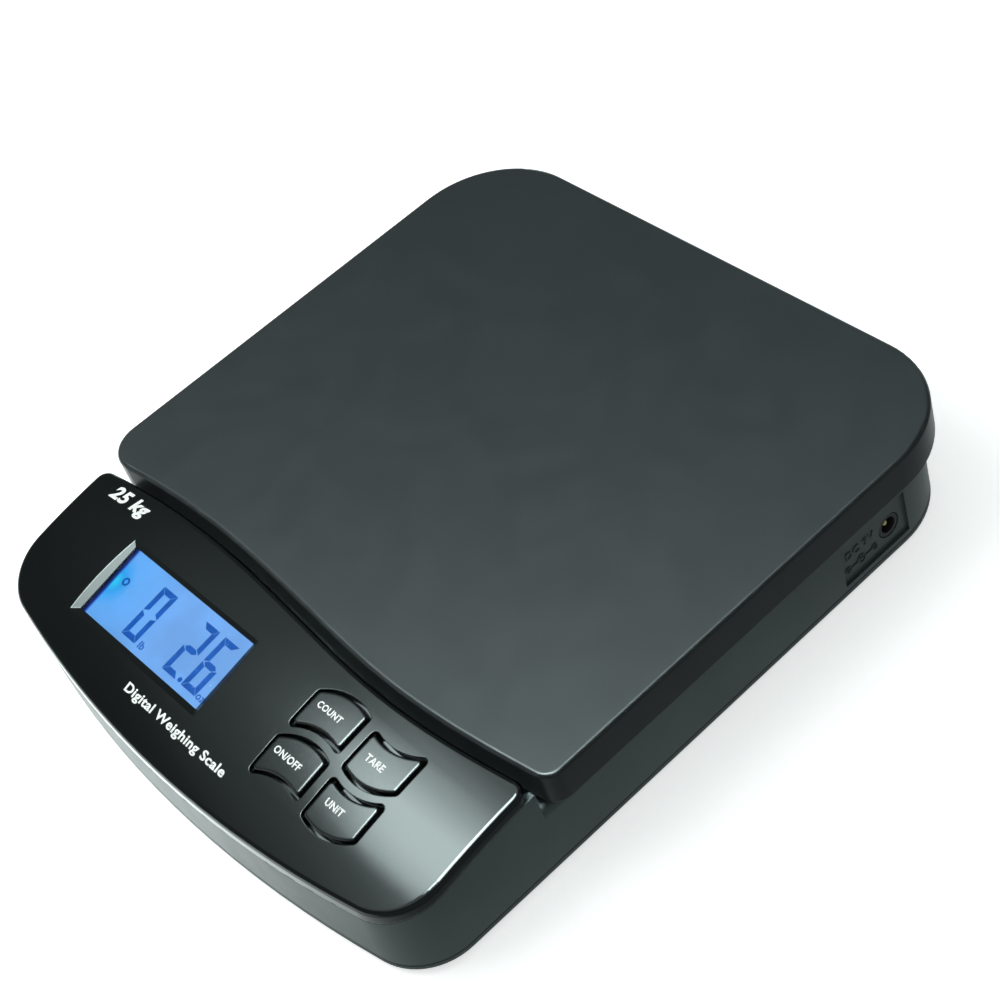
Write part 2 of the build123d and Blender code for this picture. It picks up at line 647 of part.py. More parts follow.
def battery_door():
    """Door in the underside: two hooks on the rear edge, a finger latch on the front edge."""
    x0, x1, y0, y1 = BATTERY_BAY
    gap = 0.3
    door = box(x0 + gap, x1 - gap, y0 + gap, y1 - gap, UNDERSIDE, SEAM - 0.2)
    for x in HOOK_X:
        door = door + box(x, x + HOOK_W, y1 - 2.2, y1 - gap, SEAM - 0.3, SEAM + 1.3)
        door = door + box(x, x + HOOK_W, y1 - 2.2, y1 + 1.2, SEAM + 0.3, SEAM + 1.3)
    x = (x0 + x1) / 2
    door = door - box(x - 7, x + 7, y0 - 1, y0 + 1.6, 0, 10)
    door = door + box(x - 6, x + 6, y0 + 2.4, y0 + 3.6, SEAM - 0.3, SEAM + 4)
    for i in range(4):
        door = door - box(x - 8, x + 8, y0 + 4 + 2 * i, y0 + 5 + 2 * i, 1, UNDERSIDE + 0.6)
    return door


def wires():
    """Leads from the battery snap, from the power socket, and the load cell's cable."""
    bx, by, bz = connector_end(CONNECTORS[0][0])
    snap_x = BATTERY_X + BATTERY_SIZE[0] + 5.4
    battery_pair = [tube_path(((snap_x, BATTERY_Y + s * 1.2, 13), (-31.5, BATTERY_Y - 1 + s, 12 + s),
                               (-27 + s * 1.2, -38, 9), (bx + s, by + 3, bz - 4), (bx + s, by, bz)), 0.7)
                    for s in (-1, 1)]
    jx, jy, jz = connector_end(CONNECTORS[2][0])
    jack_pair = [tube_path(((85.2, JACK_Y + s * 1.2, 13), (80, JACK_Y - 8, 10 + s),
                            (76 + s, 20, 8.5), (74 + s, -35, 9), (jx + s, jy + 4, jz - 5),
                            (jx + s, jy, jz)), 0.7)
                 for s in (-1, 1)]
    return group(battery_pair), group(jack_pair)


def load_cell_cable():
    cx, cy, cz = connector_end(CONNECTORS[1][0])
    return tube_path(((-CELL_L / 2 - 0.9, CELL_Y, 14), (-CELL_L / 2 - 5, CELL_Y - 3, 13),
                      (-46, 17, 11), (-26.5, 9, 10), (-22, -20, 9.5),
                      (cx, cy + 6, cz - 6), (cx, cy, cz - 0.8)), 1.5)


def rating_label():
    """Blank adhesive label on the underside."""
    return box(5, 70, -40, -5, UNDERSIDE - 0.15, UNDERSIDE)


# ---- write every node ---------------------------------------------------------------------
KEY_NAMES = {(0, 0): "count", (0, 1): "on_off", (1, 0): "tare", (1, 1): "unit"}

nodes["bottom_shell"] = bottom_shell()
nodes["rubber_feet"] = rubber_feet()
nodes["case_screws"] = case_screws()
nodes["base_cover"] = base_cover()
nodes["console_deck"] = console_deck()
for (column, row), name in KEY_NAMES.items():
    nodes[f"{name}_key"] = key(column, row)
    nodes[f"{name}_plunger"] = plunger(column, row)
nodes["tact_switches"] = tact_switches()
nodes["display_window"] = display_window()
nodes["lcd_glass"] = lcd_glass()
nodes["backlight_panel"] = backlight_panel()
nodes["backlight_led"] = backlight_led()
nodes["lcd_frame"] = lcd_frame()
nodes["lcd_pins"] = lcd_pins()
nodes["main_board"] = main_board()
nodes["board_screws"] = board_screws()
nodes["microcontroller"] = microcontroller()
nodes["converter_chip"] = converter_chip()
nodes["crystal"] = crystal()
nodes["capacitors"] = capacitors()
nodes["voltage_regulator"] = voltage_regulator()
nodes["resistors"] = resistors()
nodes["wire_connectors"] = wire_connectors()
nodes["load_cell"] = load_cell()
nodes["strain_gauges"] = strain_gauges()
nodes["cell_mount_plate"] = cell_mount_plate()
nodes["cell_base_screws"] = cell_base_screws()
nodes["cell_top_spacer"] = cell_top_spacer()
nodes["cell_top_screws"] = cell_top_screws()
nodes["overload_stop_screw"] = overload_stop_screw()
nodes["weigh_frame"] = weigh_frame()
nodes["platform_pads"] = pads()
nodes["platform_tray"] = platform_tray()
nodes["dc_jack"] = dc_jack()
nodes["dc_jack_pin"] = dc_jack_pin()
nodes["battery"] = battery()
nodes["battery_terminals"] = battery_terminals()
nodes["battery_snap"] = battery_snap()
nodes["battery_foam"] = battery_foam()
nodes["battery_door"] = battery_door()
nodes["battery_leads"], nodes["jack_leads"] = wires()
nodes["load_cell_cable"] = load_cell_cable()
nodes["rating_label"] = rating_label()

MIDDLE = Pos(0, -(BASE_FRONT + PLATFORM_REAR) / 2, 0)
os.makedirs("parts", exist_ok=True)
for name, shape in nodes.items():
    export_step(MIDDLE * shape, f"parts/{name}.step")
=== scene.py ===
import json
from math import cos, pi, radians, sin, sqrt

import bmesh
import bpy
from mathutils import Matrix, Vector


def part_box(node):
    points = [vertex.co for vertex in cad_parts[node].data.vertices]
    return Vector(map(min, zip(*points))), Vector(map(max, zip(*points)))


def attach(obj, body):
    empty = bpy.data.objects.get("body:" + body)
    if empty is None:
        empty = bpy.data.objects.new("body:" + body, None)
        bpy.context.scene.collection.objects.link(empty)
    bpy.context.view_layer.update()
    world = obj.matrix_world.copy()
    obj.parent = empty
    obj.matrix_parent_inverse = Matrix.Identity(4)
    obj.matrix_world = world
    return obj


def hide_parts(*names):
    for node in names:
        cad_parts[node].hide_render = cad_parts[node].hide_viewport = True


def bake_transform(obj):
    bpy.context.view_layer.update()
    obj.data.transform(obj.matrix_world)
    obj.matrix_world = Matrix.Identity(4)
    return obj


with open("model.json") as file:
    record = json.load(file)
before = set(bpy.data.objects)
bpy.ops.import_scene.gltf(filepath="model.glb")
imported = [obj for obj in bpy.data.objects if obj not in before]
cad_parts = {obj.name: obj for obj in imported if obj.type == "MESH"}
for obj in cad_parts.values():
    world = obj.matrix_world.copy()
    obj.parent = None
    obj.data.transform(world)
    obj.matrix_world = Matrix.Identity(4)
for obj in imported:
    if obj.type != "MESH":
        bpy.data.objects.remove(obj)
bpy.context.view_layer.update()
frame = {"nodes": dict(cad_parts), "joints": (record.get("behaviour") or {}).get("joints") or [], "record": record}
MM = 0.001
nodes = frame["nodes"]
slot_of = {part["node"]: part["material_slot"] for part in frame["record"]["subparts"]}

# ---- deck coordinates ---------------------------------------------------------------------
# u runs to the right, v up the slope, w square to the deck, in millimetres. The display window's
# middle is at DISPLAY, and the keys are pressed along -w.
DISPLAY = Vector((-35.5, -27.4, -1.275))
CROWN_R, CROWN_V, CROWN_W = 241.25, -31.0, 1.2     # the deck is an arc in the v-w plane
KEY_PROUD = 0.6
press = next(j for j in frame["joints"] if j["name"] == "count_key_press")
deck_n = -Vector(press["axis"]).normalized()
deck_u = Vector((1, 0, 0))
deck_v = deck_n.cross(deck_u)
low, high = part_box("display_window")
display_middle = (low + high) / 2


def on_deck(u, v, w):
    """Place in the row frame of a point given in deck coordinates."""
    d = (Vector((u, v, w)) - DISPLAY) * MM
    return display_middle + deck_u * d.x + deck_v * d.y + deck_n * d.z


def crown(v):
    """Height w of the deck's surface at v."""
    return CROWN_W - CROWN_R + sqrt(CROWN_R ** 2 - (v - CROWN_V) ** 2)


# ---- shader helpers -----------------------------------------------------------------------
class Shader:
    """Small builder for a node material."""

    def __init__(self, name):
        self.material = bpy.data.materials.new(name)
        self.material.use_nodes = True
        self.tree = self.material.node_tree
        self.surface = self.tree.nodes["Principled BSDF"]
        self.output = self.tree.nodes["Material Output"]
        self.place = self.tree.nodes.new("ShaderNodeTexCoord").outputs["Object"]

    def node(self, kind, **values):
        made = self.tree.nodes.new(kind)
        for key, value in values.items():
            if key in made.inputs:
                made.inputs[key].default_value = value
            else:
                setattr(made, key, value)
        return made

    def link(self, source, target):
        self.tree.links.new(source, target)

    def pattern(self, kind, size_mm, stretch=(1, 1, 1), **values):
        """Texture node whose grains or cells are about size_mm across."""
        mapping = self.node("ShaderNodeMapping")
        mapping.inputs["Scale"].default_value = [s / (size_mm * MM) for s in stretch]
        self.link(self.place, mapping.inputs["Vector"])
        texture = self.node(kind, Scale=1.0, **values)
        self.link(mapping.outputs["Vector"], texture.inputs["Vector"])
        return texture

    def noise(self, size_mm, detail=2.0, stretch=(1, 1, 1)):
        """Noise whose grains are about size_mm across, 0 to 1."""
        return self.pattern("ShaderNodeTexNoise", size_mm, stretch, Detail=detail).outputs["Fac"]

    def product(self, first, second):
        """One colour times another."""
        mix = self.node("ShaderNodeMix", data_type="RGBA", blend_type="MULTIPLY")
        mix.inputs["Factor"].default_value = 1.0
        self.link(first, mix.inputs["A"])
        self.link(second, mix.inputs["B"])
        return mix.outputs["Result"]

    def stops(self, source, steps):
        """Run through (place, colour or grey) steps, smooth if there are only two."""
        ramp = self.node("ShaderNodeValToRGB")
        ramp.color_ramp.interpolation = "EASE" if len(steps) == 2 else "LINEAR"
        elements = ramp.color_ramp.elements
        while len(elements) < len(steps):
            elements.new(0.5)
        for element, (place, value) in zip(elements, steps):
            element.position = place
            element.color = (*value, 1) if isinstance(value, tuple) else (value, value, value, 1)
        self.link(source, ramp.inputs["Fac"])
        return ramp.outputs["Color"]

    def ramp(self, source, low, high, at=(0.3, 0.7)):
        """Smooth change from one colour or grey to another as the source passes the two places."""
        return self.stops(source, ((at[0], low), (at[1], high)))

    def set(self, **values):
        for key, value in values.items():
            target = self.surface.inputs[key.replace("_", " ")]
            if hasattr(value, "is_linked"):
                self.link(value, target)
            else:
                target.default_value = value

    def relief(self, source, depth_mm, edge_mm=0.0):
        """Bump from the source, over edges softened by edge_mm."""
        bump = self.node("ShaderNodeBump", Strength=1.0, Distance=depth_mm * MM)
        self.link(source, bump.inputs["Height"])
        if edge_mm:
            bevel = self.node("ShaderNodeBevel", Radius=edge_mm * MM)
            bevel.samples = 6
            self.link(bevel.outputs["Normal"], bump.inputs["Normal"])
        self.link(bump.outputs["Normal"], self.surface.inputs["Normal"])


def tint(colour, factor):
    return tuple(min(1.0, channel * factor) for channel in colour)


def plastic(name, colour, rough, grain_mm, grain_depth, edge_mm=0.25, spread=0.12):
    """Moulded plastic: slow colour and gloss changes, a fine moulded grain, soft edges."""
    s = Shader(name)
    slow = s.noise(35.0, 3.0)
    s.set(Base_Color=s.ramp(slow, tint(colour, 1 - spread), tint(colour, 1 + spread)))
    s.set(Roughness=s.ramp(s.noise(9.0, 4.0), rough * 0.96, rough * 1.04))
    s.relief(s.noise(grain_mm, 3.0), grain_depth, edge_mm)
    return s.material


def polished(name, colour, rough, edge_mm):
    """Polished black plastic with faint flow waves and thin rub marks."""
    s = Shader(name)
    s.set(Base_Color=s.ramp(s.noise(50.0, 2.0), tint(colour, 0.8), tint(colour, 1.25)))
    marks = s.noise(1.6, 5.0, (1, 7, 1))
    s.set(Roughness=s.ramp(marks, rough * 0.85, rough * 1.35, (0.45, 0.75)))
    s.set(Specular_IOR_Level=0.55)
    s.relief(s.noise(14.0, 2.0), 0.012, edge_mm)
    return s.material


def metal(name, colour, rough, stretch=(1, 12, 12)):
    """Metal with drawn or milled lines."""
    s = Shader(name)
    lines = s.noise(6.0, 6.0, stretch)
    s.set(Base_Color=s.ramp(lines, tint(colour, 0.85), tint(colour, 1.08)), Metallic=1.0)
    s.set(Roughness=s.ramp(lines, rough * 0.8, rough * 1.3))
    s.relief(lines, 0.01, 0.12)
    return s.material


def rubber(name, colour):
    s = Shader(name)
    s.set(Base_Color=s.ramp(s.noise(4.0, 5.0), tint(colour, 0.75), tint(colour, 1.5)), Roughness=0.8)
    s.relief(s.noise(0.5, 2.0), 0.03, 0.2)
    return s.material


def foam(name, colour):
    """Open cells of about a millimetre, with painted shade darkening each cell's hollow."""
    s = Shader(name)
    cells = s.pattern("ShaderNodeTexVoronoi", 1.0).outputs["Distance"]
    # painted shade: each cell is darker towards its middle, where the relief sinks it
    s.set(Base_Color=s.ramp(cells, tint(colour, 0.3), tint(colour, 1.6)))
    s.set(Roughness=0.95)
    s.relief(cells, 0.4)
    return s.material


def circuit_board(name, colour):
    """Solder mask over tracks that show as lighter bands."""
    SPACING = 1000 / 420          # between tracks, in millimetres
    TRACK = (0.05, 0.09)          # where a track ends, as a share of the spacing
    s = Shader(name)
    tracks = s.pattern("ShaderNodeTexVoronoi", SPACING, distance="MANHATTAN", feature="DISTANCE_TO_EDGE")
    edge = tracks.outputs["Distance"]
    s.set(Base_Color=s.ramp(edge, tint(colour, 2.2), colour, TRACK), Roughness=0.3)
    s.relief(s.ramp(edge, 1.0, 0.0, TRACK), 0.03)
    return s.material


def clear_window(name):
    """Thin polished cover over the display: clear, with a weak mirror image of the room."""
    s = Shader(name)
    mirror = s.node("ShaderNodeBsdfGlossy", Color=(1, 1, 1, 1))
    s.link(s.ramp(s.noise(3.0, 5.0), 0.03, 0.1), mirror.inputs["Roughness"])
    clear = s.node("ShaderNodeBsdfTransparent", Color=(0.97, 0.98, 1.0, 1))
    mix = s.node("ShaderNodeMixShader")
    angle = s.node("ShaderNodeFresnel", IOR=1.42)
    outside = s.node("ShaderNodeMath", operation="SUBTRACT")
    outside.inputs[0].default_value = 1.0
    s.link(s.node("ShaderNodeNewGeometry").outputs["Backfacing"], outside.inputs[1])
    share = s.node("ShaderNodeMath", operation="MULTIPLY")
    s.link(angle.outputs["Fac"], share.inputs[0])
    s.link(outside.outputs["Value"], share.inputs[1])
    s.link(share.outputs["Value"], mix.inputs["Fac"])
    s.link(clear.outputs["BSDF"], mix.inputs[1])
    s.link(mirror.outputs["BSDF"], mix.inputs[2])
    s.link(mix.outputs["Shader"], s.output.inputs["Surface"])
    return s.material


def across_display(s):
    """Sockets that run 0 to 1 from the display's left to right and from its front to rear."""
    first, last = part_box("display_window")
    mapping = s.node("ShaderNodeMapping", vector_type="TEXTURE")
    mapping.inputs["Location"].default_value = first
    mapping.inputs["Scale"].default_value = last - first
    s.link(s.place, mapping.inputs["Vector"])
    return mapping.outputs["Vector"]


def lit_display(name):
    """Blue lit panel: brightest at the lamp near its left end, with soft clouding, and with a painted shadow of
    the bezel darkening its left edge.
    """
    LAMP = (0.055, 0.52, 0.5)     # middle of the bright spot, across and up the display
    FALL = (2.2, 0.9, 0.0)        # how fast the light changes in those directions
    s = Shader(name)
    place = across_display(s)
    lamp = s.node("ShaderNodeVectorMath", operation="SUBTRACT")
    s.link(place, lamp.inputs[0])
    lamp.inputs[1].default_value = LAMP
    flat = s.node("ShaderNodeVectorMath", operation="MULTIPLY")
    s.link(lamp.outputs["Vector"], flat.inputs[0])
    flat.inputs[1].default_value = FALL
    far = s.node("ShaderNodeVectorMath", operation="LENGTH")
    s.link(flat.outputs["Vector"], far.inputs[0])
    glow = s.stops(far.outputs["Value"], ((0.03, (0.003, 0.66, 0.97)), (0.11, (0.006, 0.36, 0.86)),
                                          (0.26, (0.11, 0.40, 0.88)), (1.0, (0.16, 0.40, 0.84))))
    split = s.node("ShaderNodeSeparateXYZ")
    s.link(place, split.inputs["Vector"])
    # painted shadow of the bezel: the light dims to navy and then to near black towards the panel's left edge
    painted_bezel_shadow = s.stops(split.outputs["X"], ((0.036, (0.004, 0.006, 0.03)), (0.048, (0.01, 0.06, 0.45)),
                                        (0.060, (1.0, 1.0, 1.0))))
    cloud = s.ramp(s.noise(16.0, 2.0), 0.9, 1.06)
    s.set(Base_Color=(0.02, 0.03, 0.06, 1), Roughness=0.35, Specular_IOR_Level=0.1)
    s.set(Emission_Color=s.product(s.product(glow, painted_bezel_shadow), cloud), Emission_Strength=0.97)
    return s.material


def segment_ink(name, colour):
    """Dark liquid-crystal segment that lets a little of the blue light through."""
    s = Shader(name)
    s.set(Base_Color=tint(colour, 0.1) + (1,), Roughness=0.4, Specular_IOR_Level=0.05)
    s.set(Emission_Color=s.ramp(s.noise(3.0, 2.0), tint(colour, 0.85), tint(colour, 1.15)))
    s.set(Emission_Strength=1.0)
    return s.material


def print_ink_painted_glow(name):
    """White screen print with slightly uneven cover, and a painted glow that lights it beyond the room's light."""
    s = Shader(name)
    s.set(Base_Color=s.ramp(s.noise(0.8, 4.0), (0.76, 0.77, 0.76), (0.88, 0.88, 0.87)), Roughness=0.5)
    # painted glow: the print gives off light of its own, though it is no lamp
    s.set(Emission_Color=(0.95, 1.0, 0.98, 1), Emission_Strength=0.3)
    s.relief(s.noise(0.3, 2.0), 0.005)
    return s.material


# ---- materials for the record's slots -----------------------------------------------------
SHELL = (0.027, 0.038, 0.038)
GLOSS = (0.0025, 0.0032, 0.0032)
finishes = {
    "shell_plastic": lambda n: plastic(n, SHELL, 0.5, 0.35, 0.012),
    "cover_plastic": lambda n: plastic(n, SHELL, 0.42, 0.35, 0.010, 0.4),
    "deck_plastic": lambda n: polished(n, GLOSS, 0.08, 0.4),
    "key_plastic": lambda n: polished(n, (0.0035, 0.0045, 0.0045), 0.10, 0.8),
    "platform_plastic": lambda n: plastic(n, (0.008, 0.009, 0.010), 0.34, 0.4, 0.010, 0.5, 0.05),
    "frame_plastic": lambda n: plastic(n, (0.07, 0.07, 0.075), 0.55, 0.5, 0.02),
    "window": clear_window,
    "lcd": lit_display,
    "backlight": lambda n: plastic(n, (0.35, 0.60, 0.95), 0.35, 0.8, 0.02),
    "led": lambda n: plastic(n, (0.85, 0.90, 0.95), 0.3, 0.5, 0.01),
    "white_plastic": lambda n: plastic(n, (0.72, 0.72, 0.68), 0.45, 0.4, 0.015, spread=0.06),
    "black_part": lambda n: plastic(n, (0.015, 0.015, 0.015), 0.5, 0.25, 0.01),
    "board": lambda n: circuit_board(n, (0.012, 0.085, 0.03)),
    "tin": lambda n: metal(n, (0.72, 0.72, 0.70), 0.3, (1, 1, 1)),
    "rubber": lambda n: rubber(n, (0.018, 0.018, 0.018)),
    "foam": lambda n: foam(n, (0.05, 0.05, 0.052)),
    "aluminium": lambda n: metal(n, (0.75, 0.76, 0.77), 0.32, (1, 14, 14)),
    "gauge_sealant": lambda n: plastic(n, (0.80, 0.77, 0.62), 0.4, 1.2, 0.05),
    "steel": lambda n: metal(n, (0.56, 0.56, 0.55), 0.34, (4, 4, 1)),
    "brass": lambda n: metal(n, (0.78, 0.58, 0.25), 0.28, (1, 10, 10)),
    "wire": lambda n: plastic(n, (0.42, 0.03, 0.025), 0.35, 0.8, 0.01),
    "cable": lambda n: rubber(n, (0.06, 0.06, 0.06)),
    "battery_case": lambda n: polished(n, (0.08, 0.11, 0.14), 0.3, 0.2),
    "label": lambda n: plastic(n, (0.62, 0.62, 0.60), 0.4, 0.5, 0.004, spread=0.05),
}
materials = {}


def material(slot):
    if slot not in materials:
        materials[slot] = finishes[slot](slot)
    return materials[slot]


for name, thing in nodes.items():
    if not thing.data.materials:
        thing.data.materials.append(None)
    for entry in thing.material_slots:
        entry.material = material(slot_of[name])

# white print with a painted glow
ink = print_ink_painted_glow("print_white_painted_glow")


# ---- meshes -------------------------------------------------------------------------------
def piece(name, mesh, body, finish, smooth=False):
    """Adds a mesh as a piece that rides on a body."""
    thing = bpy.data.objects.new(name, mesh)
    bpy.context.scene.collection.objects.link(thing)
    mesh.materials.clear()
    mesh.materials.append(finish)
    for polygon in mesh.polygons:
        polygon.use_smooth = smooth
    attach(thing, body)
    return thing


def plates(name, outlines, low, high, place):
    """Mesh of flat plates: each outline of (x, y) points is thickened from low to high."""
    grid = bmesh.new()
    for outline in outlines:
        lower = [grid.verts.new(place(x, y, low)) for x, y in outline]
        upper = [grid.verts.new(place(x, y, high)) for x, y in outline]
        grid.faces.new(upper)
        grid.faces.new(list(reversed(lower)))
        count = len(outline)
        for i in range(count):
            j = (i + 1) % count
            grid.faces.new((lower[i], lower[j], upper[j], upper[i]))
    bmesh.ops.recalc_face_normals(grid, faces=grid.faces)
    mesh = bpy.data.meshes.new(name)
    grid.to_mesh(mesh)
    grid.free()
    return mesh


def lettering(name, text, height, depth, place, bold=0.0, slant=0.0, length=None):
    """Closed mesh of a line of text, centred, with capitals of the given height, in millimetres.
    It is stretched to the length, if there is one."""
    CAPITAL = 0.73            # height of the built-in font's capitals for size 1
    curve = bpy.data.curves.new(name, "FONT")
    curve.body = text
    curve.size = height / CAPITAL
    curve.offset = bold
    curve.shear = slant
    curve.align_x = "CENTER"
    curve.space_character = 1.07
    curve.extrude = depth / 2
    curve.resolution_u = 4
    helper = bpy.data.objects.new(name, curve)
    bpy.context.scene.collection.objects.link(helper)
    bpy.context.view_layer.update()
    mesh = bpy.data.meshes.new_from_object(helper.evaluated_get(bpy.context.evaluated_depsgraph_get()))
    bpy.data.objects.remove(helper)
    grid = bmesh.new()
    grid.from_mesh(mesh)
    bmesh.ops.remove_doubles(grid, verts=grid.verts, dist=0.0005)
    reach = max(abs(vertex.co.x) for vertex in grid.verts)
    width = length / (2 * reach) if length else 1.0
    for vertex in grid.verts:
        x, y, z = vertex.co
        vertex.co = place(x * width, y - height / 2, z + depth / 2)
    grid.to_mesh(mesh)
    grid.free()
    return mesh


# ---- printed lettering --------------------------------------------------------------------
PRINT = 0.03                  # thickness of the screen print
PRINT_GAP = 0.004             # between the surface and the print


def on_surface(u, v, turn=0.0, lift=PRINT_GAP):
    """Placing function for print round a point of the deck, turned by an angle in degrees."""
    c, s = cos(radians(turn)), sin(radians(turn))

    def place(x, y, z):
        a, b = u + c * x - s * y, v + s * x + c * y
        return on_deck(a, b, crown(b) + lift + z)
    return place


def print_on_deck():
    caption = lettering("caption_print", "Digital Weighing Scale", 3.1, PRINT,
                        on_surface(-3.8, -48.3), bold=0.12, length=52.3)
    piece("caption_print", caption, "base", ink)
    capacity = lettering("capacity_print", "25 kg", 4.8, PRINT, on_surface(-84.2, -4.4, 3.5),
                         bold=0.26, slant=0.28, length=20.5)
    piece("capacity_print", capacity, "base", ink)


KEY_PRINT = {                 # text, middle of the text in deck coordinates, height of the capitals
    "count": ("COUNT", (37.2, -15.8), 2.1), "on_off": ("ON/OFF", (37.0, -33.3), 2.3),
    "tare": ("TARE", (61.5, -18.7), 2.3), "unit": ("UNIT", (61.2, -35.1), 2.3),
}


def print_on_keys():
    for key, (text, (u, v), height) in KEY_PRINT.items():
        place = on_surface(u, v, lift=KEY_PROUD + PRINT_GAP)
        mesh = lettering(f"{key}_print", text, height, PRINT, place, bold=0.09)
        piece(f"{key}_print", mesh, f"{key}_key", ink)


# ---- display segments ---------------------------------------------------------------------
WINDOW = (64.4, 25.4)
SEGMENT_LOW, SEGMENT_HIGH = -1.8, -1.7        # in the gap between the display glass and the pane
SLANT = 0.05
STROKE = 2.0                  # width of a segment
GAP = 0.13                    # half the gap between two segments
DIGIT_WIDTH, DIGIT_HEIGHT, DIGIT_FRONT = 7.4, 19.3, 2.5
LIT = {0: "abcdef", 2: "abged", 6: "acdefg"}
READING = ((0, 18.7), (2, 41.5), (6, 51.8))   # each digit and its left side
UNITS = (("display_pounds", "lb", 29.0), ("display_ounces", "oz", 61.4))
UNIT_FRONT, UNIT_HEIGHT = 3.6, 2.7
POINT_X, POINT_Y, POINT_R = 50.3, 3.4, 0.85
ZERO_MARK = (4.8, 15.2, 1.5, 0.8)             # x, y, outer and inner radius


def on_display(x, y, w):
    """Place of a point given from the window's front left corner."""
    left, front = DISPLAY.x - WINDOW[0] / 2, DISPLAY.y - WINDOW[1] / 2
    return on_deck(left + x + SLANT * y, front + y, w)


def digit(value, left, front):
    """Outlines of a seven-segment digit's lit segments, mitred where they meet."""
    width, height, s, g = DIGIT_WIDTH, DIGIT_HEIGHT, STROKE, GAP
    middle = height / 2
    top = [(g, height), (width - g, height), (width - g - s, height - s), (g + s, height - s)]
    upright = [(width, height - g), (width, middle + g), (width - s, middle + g + s / 2),
               (width - s, height - g - s)]
    bar = [(g + s / 3, middle), (g + s, middle + s / 2), (width - g - s, middle + s / 2),
           (width - g - s / 3, middle), (width - g - s, middle - s / 2), (g + s, middle - s / 2)]

    def swapped(points, in_x, in_y):
        return [(width - x if in_x else x, height - y if in_y else y) for x, y in points]
    shapes = {"a": top, "b": upright, "c": swapped(upright, False, True), "d": swapped(top, False, True),
              "e": swapped(upright, True, True), "f": swapped(upright, True, False), "g": bar}
    return [[(left + x, front + y) for x, y in shapes[letter]] for letter in LIT[value]]


def ring(x, y, outer, inner, count=20):
    """Quads that make a flat ring."""
    made = []
    for i in range(count):
        a, b = 2 * pi * i / count, 2 * pi * (i + 1) / count
        made.append([(x + r * cos(t), y + r * sin(t))
                     for r, t in ((inner, a), (outer, a), (outer, b), (inner, b))])
    return made


def display_segments():
    outlines = []
    for value, left in READING:
        outlines += digit(value, left, DIGIT_FRONT)
    turns = [pi * i / 6 for i in range(12)]
    outlines.append([(POINT_X + POINT_R * cos(t), POINT_Y + POINT_R * sin(t)) for t in turns])
    mesh = plates("display_digits", outlines, SEGMENT_LOW, SEGMENT_HIGH, on_display)
    dark = segment_ink("display_ink", (0.0, 0.085, 0.42))
    piece("display_digits", mesh, "base", dark)
    zero = plates("display_zero_mark", ring(*ZERO_MARK), SEGMENT_LOW, SEGMENT_HIGH, on_display)
    piece("display_zero_mark", zero, "base", dark)
    for name, text, x in UNITS:
        def place(a, b, c, x=x):
            return on_display(x + a, UNIT_FRONT + b, SEGMENT_LOW + c)
        mesh = lettering(name, text, UNIT_HEIGHT, SEGMENT_HIGH - SEGMENT_LOW, place, bold=0.04)
        piece(name, mesh, "base", dark)


# ---- raised marks by the power socket -----------------------------------------------------
def socket_marks():
    """Raised voltage and polarity marks on the panel beside the socket, in millimetres from its middle."""
    PANEL_DEPTH = 1.0             # panel's surface behind the cover's widest point
    SUNK, RAISED = 0.05, 0.35     # foot of a mark inside the panel, and its thickness
    LINE = 0.25                   # width of a line
    MIDDLE = -12.5                # middle of the marks, towards the front
    PLUS, MINUS = -18.2, -6.8     # middles of the two signs' rings
    ROW = -3.0                    # height of the polarity mark's line
    ARM = 0.6                     # half the length of a sign's bar
    first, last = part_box("dc_jack")
    y, z = (first.y + last.y) / 2, (first.z + last.z) / 2
    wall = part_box("base_cover")[1].x - PANEL_DEPTH * MM

    def place_at(dy, dz):
        def place(a, b, c):
            return Vector((wall + (c - SUNK) * MM, y + (dy + a) * MM, z + (dz + b) * MM))
        return place

    def bar(x0, x1, z0, z1):
        return [(x0, z0), (x1, z0), (x1, z1), (x0, z1)]

    words = lettering("voltage_mark", "DC 9V", 3.0, RAISED, place_at(MIDDLE, 2.6), bold=0.02)
    piece("voltage_mark", words, "base", material("cover_plastic"))
    outlines = ring(MIDDLE, ROW, 1.7, 1.7 - LINE * 1.6) + ring(MIDDLE, ROW, 0.6, 0.05, 12)
    outlines += ring(PLUS, ROW, 1.25, 0.95) + ring(MINUS, ROW, 1.25, 0.95)
    for x0, x1 in ((-16.9, -14.2), (-11.9, -8.1), (PLUS - ARM, PLUS + ARM), (MINUS - ARM, MINUS + ARM)):
        outlines.append(bar(x0, x1, ROW - LINE / 2, ROW + LINE / 2))
    outlines.append(bar(PLUS - LINE / 2, PLUS + LINE / 2, ROW - ARM, ROW + ARM))
    mesh = plates("polarity_mark", outlines, 0.0, RAISED, place_at(0, 0))
    piece("polarity_mark", mesh, "base", material("cover_plastic"))


def display_pane():
    """Thin clear pane in the deck's opening, with round corners. It stands in for the CAD window."""
    WIDTH, HEIGHT, CORNER = 70.0, 32.0, 2.0
    LOW, HIGH = -1.15, -0.78
    outline = []
    for quarter, (sx, sy) in enumerate(((1, 1), (-1, 1), (-1, -1), (1, -1))):
        for step in range(7):
            turn = radians(90 * quarter + 15 * step)
            outline.append((DISPLAY.x + sx * (WIDTH / 2 - CORNER) + CORNER * cos(turn),
                            DISPLAY.y + sy * (HEIGHT / 2 - CORNER) + CORNER * sin(turn)))
    mesh = plates("display_pane", [outline], LOW, HIGH, on_deck)
    pane = piece("display_pane", mesh, "base", material("window"))
    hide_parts("display_window")


def bending_load_cell():
    """The load cell bends between its two bolted ends as the platform sinks; here it and its gauges are only
    copied into objects of their own, and the CAD parts hidden.
    """
    for name in ("load_cell", "strain_gauges"):
        mesh = nodes[name].data.copy()
        beam = bpy.data.objects.new(f"{name}_bending", mesh)
        bpy.context.scene.collection.objects.link(beam)
        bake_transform(beam)
        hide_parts(name)


